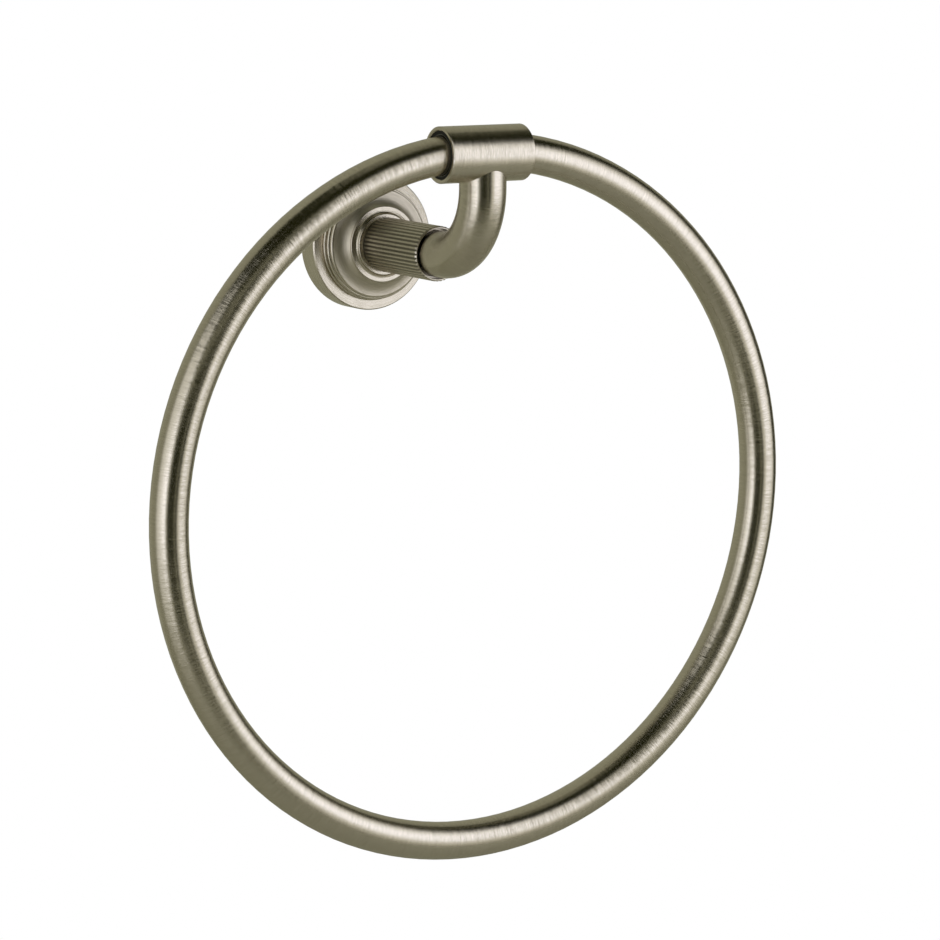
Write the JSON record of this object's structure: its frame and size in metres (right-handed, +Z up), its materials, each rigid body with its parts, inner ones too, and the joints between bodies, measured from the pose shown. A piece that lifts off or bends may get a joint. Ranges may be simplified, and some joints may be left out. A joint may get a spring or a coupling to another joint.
{
  "type": "towel ring",
  "caption": "Wall-mounted towel ring: a round tube ring swings in a sleeve on a bent arm with a straight fluted neck and a stepped round wall rosette.",
  "frame": {"origin": "centre of the rosette's back face, on the wall and on the axis of the neck", "axes": "+Y into the wall, so the ring hangs in front of it towards -Y; +X along the wall; +Z up"},
  "size_m": [0.25, 0.0896, 0.2522],
  "materials": {
    "satin_nickel": "warm satin nickel, brushed across the tubes and in circles on turned faces",
    "black_nylon": "black moulded nylon",
    "plain_brass": "bare turned brass",
    "zinc_steel": "bright zinc-plated steel"
  },
  "bodies": {
    "bracket": {"rosette": "satin_nickel", "fluted_neck": "satin_nickel", "elbow_arm": "satin_nickel", "arm_plug": "plain_brass", "clamp_bolt": "zinc_steel", "clamp_washer": "zinc_steel", "wall_plate": "zinc_steel", "grub_screw": "zinc_steel", "ring_sleeve": "satin_nickel"},
    "liner": {"sleeve_liner": "black_nylon"},
    "ring": {"towel_ring": "satin_nickel"}
  },
  "joints": [
    {"name": "ring_swing", "type": "hinge", "parent": "bracket", "child": "liner", "pos_m": [-0.0012, -0.08, 0.0365], "axis": [1, 0, 0], "range_deg": [-198, 18]},
    {"name": "ring_turn", "type": "hinge", "parent": "liner", "child": "ring", "pos_m": [-0.0012, -0.08, -0.0811], "axis": [0, 1, 0], "continuous": true}
  ]
}
